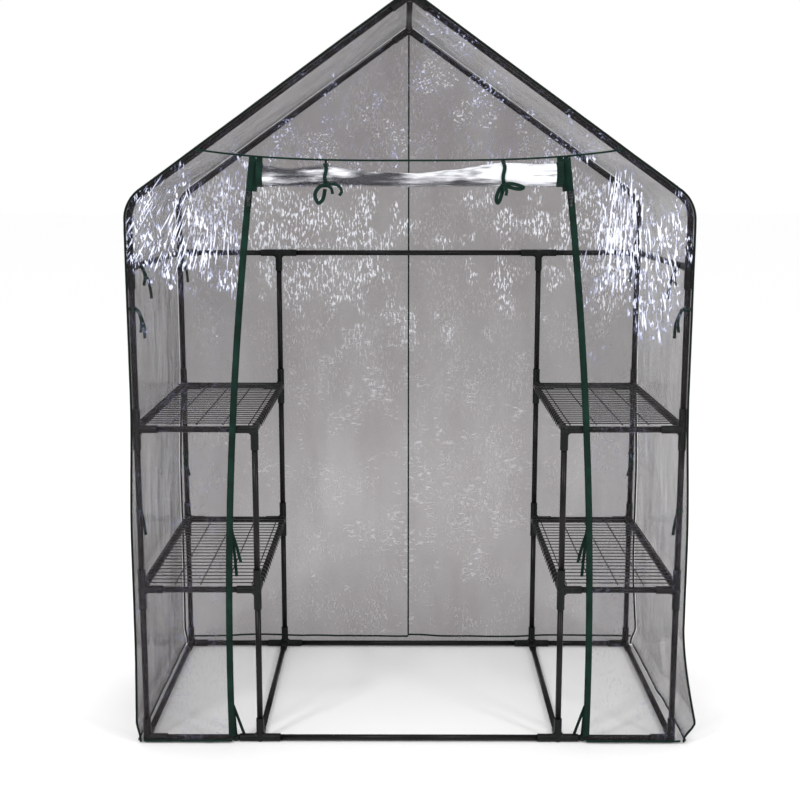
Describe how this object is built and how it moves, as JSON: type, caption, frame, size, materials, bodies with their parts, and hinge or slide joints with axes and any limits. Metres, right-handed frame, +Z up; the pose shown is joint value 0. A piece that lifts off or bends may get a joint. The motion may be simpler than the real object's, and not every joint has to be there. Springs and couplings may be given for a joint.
{
  "type": "walk-in greenhouse",
  "caption": "Walk-in film greenhouse: push-fit steel tube frame with a pitched roof, wire shelves either side of an aisle, fitted clear cover and a zipped roll-up door.",
  "frame": {"origin": "under the middle of the whole object, on the ground", "axes": "+X to the right across the front, +Y from the door to the back wall, +Z up"},
  "size_m": [1.436, 0.7648, 1.9507],
  "materials": {
    "frame_steel": "satin black powder coat on the tubes, moulded black sleeves",
    "shelf_wire": "satin dark coated wire",
    "clear_film": "clear glossy film, creased from folding",
    "green_tape": "woven dark green tape and piping",
    "zip_metal": "dark plated die casting"
  },
  "bodies": {
    "frame_and_cover": {"post_front_left": "frame_steel", "inner_post_front_left": "frame_steel", "rafter_front_left": "frame_steel", "post_front_right": "frame_steel", "inner_post_front_right": "frame_steel", "rafter_front_right": "frame_steel", "post_back_left": "frame_steel", "inner_post_back_left": "frame_steel", "rafter_back_left": "frame_steel", "post_back_right": "frame_steel", "inner_post_back_right": "frame_steel", "rafter_back_right": "frame_steel", "floor_rail_front": "frame_steel", "floor_rail_back": "frame_steel", "eave_rail_back": "frame_steel", "ridge_bar": "frame_steel", "eave_rail_left": "frame_steel", "floor_bearer_outer_left": "frame_steel", "floor_bearer_inner_left": "frame_steel", "lower_bearer_outer_left": "frame_steel", "lower_bearer_inner_left": "frame_steel", "lower_rail_front_left": "frame_steel", "lower_rail_back_left": "frame_steel", "upper_bearer_outer_left": "frame_steel", "upper_bearer_inner_left": "frame_steel", "upper_rail_front_left": "frame_steel", "upper_rail_back_left": "frame_steel", "eave_rail_right": "frame_steel", "floor_bearer_outer_right": "frame_steel", "floor_bearer_inner_right": "frame_steel", "lower_bearer_outer_right": "frame_steel", "lower_bearer_inner_right": "frame_steel", "lower_rail_front_right": "frame_steel", "lower_rail_back_right": "frame_steel", "upper_bearer_outer_right": "frame_steel", "upper_bearer_inner_right": "frame_steel", "upper_rail_front_right": "frame_steel", "upper_rail_back_right": "frame_steel", "cover_front_left": "clear_film", "cover_side_left": "clear_film", "cover_roof_left": "clear_film", "cover_front_right": "clear_film", "cover_side_right": "clear_film", "cover_roof_right": "clear_film", "cover_gable_front": "clear_film", "cover_back": "clear_film", "zip_tape_left": "green_tape", "zip_tape_right": "green_tape"},
    "lower_shelf_left_body": {"lower_shelf_left": "shelf_wire"},
    "lower_shelf_right_body": {"lower_shelf_right": "shelf_wire"},
    "upper_shelf_left_body": {"upper_shelf_left": "shelf_wire"},
    "upper_shelf_right_body": {"upper_shelf_right": "shelf_wire"},
    "rolled_door": {"door_roll": "clear_film", "door_tie_left": "green_tape", "door_tie_right": "green_tape"},
    "slider_left": {"zip_slider_left": "zip_metal"},
    "pull_left": {"zip_pull_left": "zip_metal"},
    "slider_right": {"zip_slider_right": "zip_metal"},
    "pull_right": {"zip_pull_right": "zip_metal"}
  },
  "joints": [
    {"name": "lower_shelf_left_lift", "type": "slide", "parent": "frame_and_cover", "child": "lower_shelf_left_body", "axis": [0, 0, 1], "range_m": [0, 0.08]},
    {"name": "lower_shelf_right_lift", "type": "slide", "parent": "frame_and_cover", "child": "lower_shelf_right_body", "axis": [0, 0, 1], "range_m": [0, 0.08]},
    {"name": "upper_shelf_left_lift", "type": "slide", "parent": "frame_and_cover", "child": "upper_shelf_left_body", "axis": [0, 0, 1], "range_m": [0, 0.08]},
    {"name": "upper_shelf_right_lift", "type": "slide", "parent": "frame_and_cover", "child": "upper_shelf_right_body", "axis": [0, 0, 1], "range_m": [0, 0.08]},
    {"name": "rolled_door_swing", "type": "hinge", "parent": "frame_and_cover", "child": "rolled_door", "pos_m": [0, -0.3559, 1.538], "axis": [-1, 0, 0], "range_deg": [-20, 90]},
    {"name": "zip_slider_left_travel", "type": "hinge", "parent": "frame_and_cover", "child": "slider_left", "pos_m": [10.23801, -0.3559, 0.18851], "axis": [0, -1, 0], "range_deg": [0, 7.5]},
    {"name": "zip_pull_left_flip", "type": "hinge", "parent": "slider_left", "child": "pull_left", "pos_m": [-0.40153, -0.3625, 1.46], "axis": [-1, 0, 0], "range_deg": [0, 170]},
    {"name": "zip_slider_right_travel", "type": "hinge", "parent": "frame_and_cover", "child": "slider_right", "pos_m": [-10.23801, -0.3559, 0.18851], "axis": [0, 1, 0], "range_deg": [0, 7.5]},
    {"name": "zip_pull_right_flip", "type": "hinge", "parent": "slider_right", "child": "pull_right", "pos_m": [0.40153, -0.3625, 1.46], "axis": [-1, 0, 0], "range_deg": [0, 170]}
  ]
}
